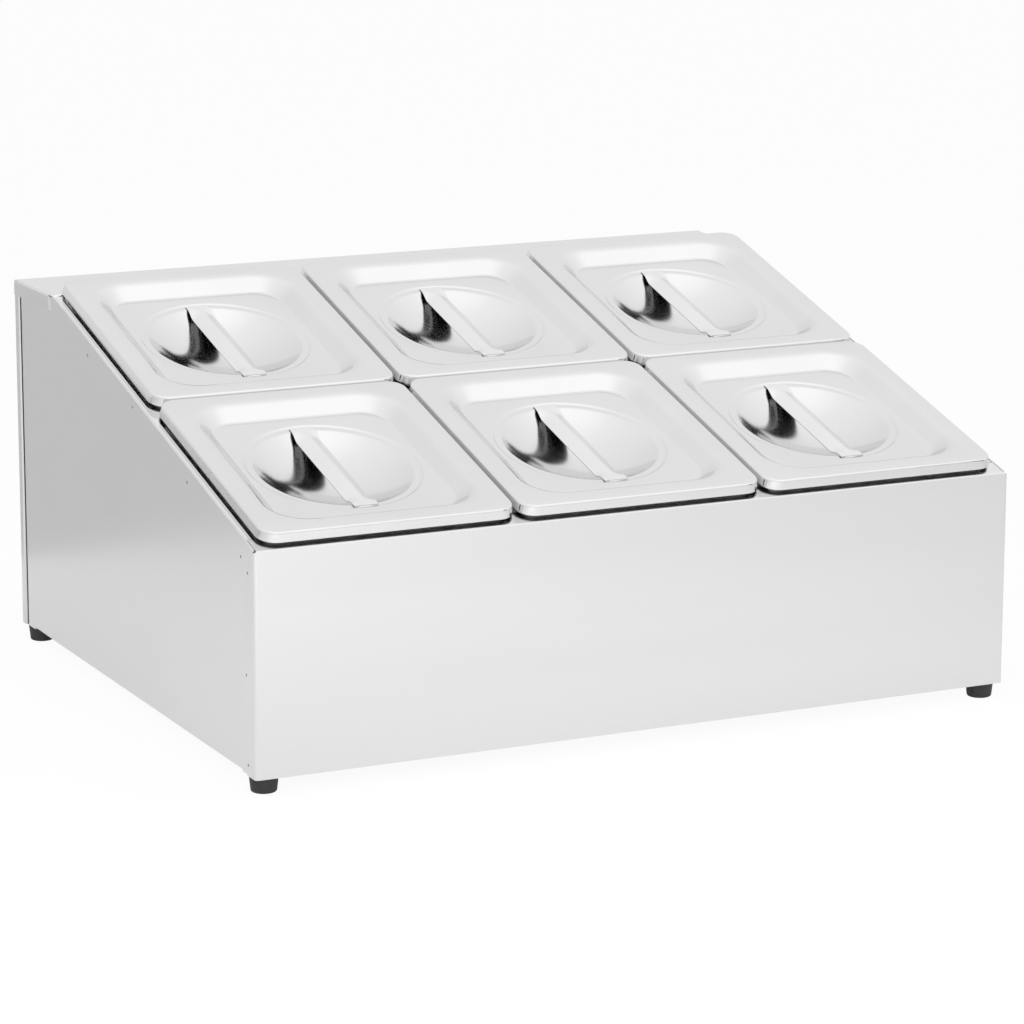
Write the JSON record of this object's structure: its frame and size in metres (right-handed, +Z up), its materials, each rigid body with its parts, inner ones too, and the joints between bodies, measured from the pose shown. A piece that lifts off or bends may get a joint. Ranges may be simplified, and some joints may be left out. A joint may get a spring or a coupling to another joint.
{
  "type": "gastronorm pan holder",
  "caption": "Sloped counter-top holder of folded sheet steel on rubber feet, with deep lift-out food pans and loose pressed lids that have strap handles.",
  "frame": {"origin": "on the table, under the middle of the holder's footprint", "axes": "+X to the user's right along the rows, +Y towards the high back, +Z up"},
  "size_m": [0.5024, 0.4084, 0.2481],
  "materials": {
    "holder_steel": "satin, folded and spot-welded",
    "pan_steel": "deep drawn, satin",
    "lid_steel": "pressed, finely polished",
    "rubber": "matt black",
    "plated_steel": "bright plated"
  },
  "bodies": {
    "holder": {"front_panel": "holder_steel", "back_panel": "holder_steel", "left_side_panel": "holder_steel", "right_side_panel": "holder_steel", "left_pan_rail": "holder_steel", "right_pan_rail": "holder_steel", "row_crossbar": "holder_steel", "front_left_foot": "rubber", "front_right_foot": "rubber", "rear_left_foot": "rubber", "rear_right_foot": "rubber", "foot_screws": "plated_steel", "foot_washers": "plated_steel", "foot_nuts": "plated_steel"},
    "front_left_pan_body": {"front_left_pan": "pan_steel"},
    "front_left_lid_body": {"front_left_lid": "lid_steel", "front_left_handle": "lid_steel"},
    "front_centre_pan_body": {"front_centre_pan": "pan_steel"},
    "front_centre_lid_body": {"front_centre_lid": "lid_steel", "front_centre_handle": "lid_steel"},
    "front_right_pan_body": {"front_right_pan": "pan_steel"},
    "front_right_lid_body": {"front_right_lid": "lid_steel", "front_right_handle": "lid_steel"},
    "rear_left_pan_body": {"rear_left_pan": "pan_steel"},
    "rear_left_lid_body": {"rear_left_lid": "lid_steel", "rear_left_handle": "lid_steel"},
    "rear_centre_pan_body": {"rear_centre_pan": "pan_steel"},
    "rear_centre_lid_body": {"rear_centre_lid": "lid_steel", "rear_centre_handle": "lid_steel"},
    "rear_right_pan_body": {"rear_right_pan": "pan_steel"},
    "rear_right_lid_body": {"rear_right_lid": "lid_steel", "rear_right_handle": "lid_steel"}
  },
  "joints": [
    {"name": "front_left_pan_lift", "type": "slide", "parent": "holder", "child": "front_left_pan_body", "axis": [0, -0.2723, 0.9622], "range_m": [0, 0.16]},
    {"name": "front_left_lid_lift", "type": "slide", "parent": "front_left_pan_body", "child": "front_left_lid_body", "axis": [0, -0.2723, 0.9622], "range_m": [0, 0.06]},
    {"name": "front_centre_pan_lift", "type": "slide", "parent": "holder", "child": "front_centre_pan_body", "axis": [0, -0.2723, 0.9622], "range_m": [0, 0.16]},
    {"name": "front_centre_lid_lift", "type": "slide", "parent": "front_centre_pan_body", "child": "front_centre_lid_body", "axis": [0, -0.2723, 0.9622], "range_m": [0, 0.06]},
    {"name": "front_right_pan_lift", "type": "slide", "parent": "holder", "child": "front_right_pan_body", "axis": [0, -0.2723, 0.9622], "range_m": [0, 0.16]},
    {"name": "front_right_lid_lift", "type": "slide", "parent": "front_right_pan_body", "child": "front_right_lid_body", "axis": [0, -0.2723, 0.9622], "range_m": [0, 0.06]},
    {"name": "rear_left_pan_lift", "type": "slide", "parent": "holder", "child": "rear_left_pan_body", "axis": [0, -0.2723, 0.9622], "range_m": [0, 0.16]},
    {"name": "rear_left_lid_lift", "type": "slide", "parent": "rear_left_pan_body", "child": "rear_left_lid_body", "axis": [0, -0.2723, 0.9622], "range_m": [0, 0.06]},
    {"name": "rear_centre_pan_lift", "type": "slide", "parent": "holder", "child": "rear_centre_pan_body", "axis": [0, -0.2723, 0.9622], "range_m": [0, 0.16]},
    {"name": "rear_centre_lid_lift", "type": "slide", "parent": "rear_centre_pan_body", "child": "rear_centre_lid_body", "axis": [0, -0.2723, 0.9622], "range_m": [0, 0.06]},
    {"name": "rear_right_pan_lift", "type": "slide", "parent": "holder", "child": "rear_right_pan_body", "axis": [0, -0.2723, 0.9622], "range_m": [0, 0.16]},
    {"name": "rear_right_lid_lift", "type": "slide", "parent": "rear_right_pan_body", "child": "rear_right_lid_body", "axis": [0, -0.2723, 0.9622], "range_m": [0, 0.06]}
  ]
}
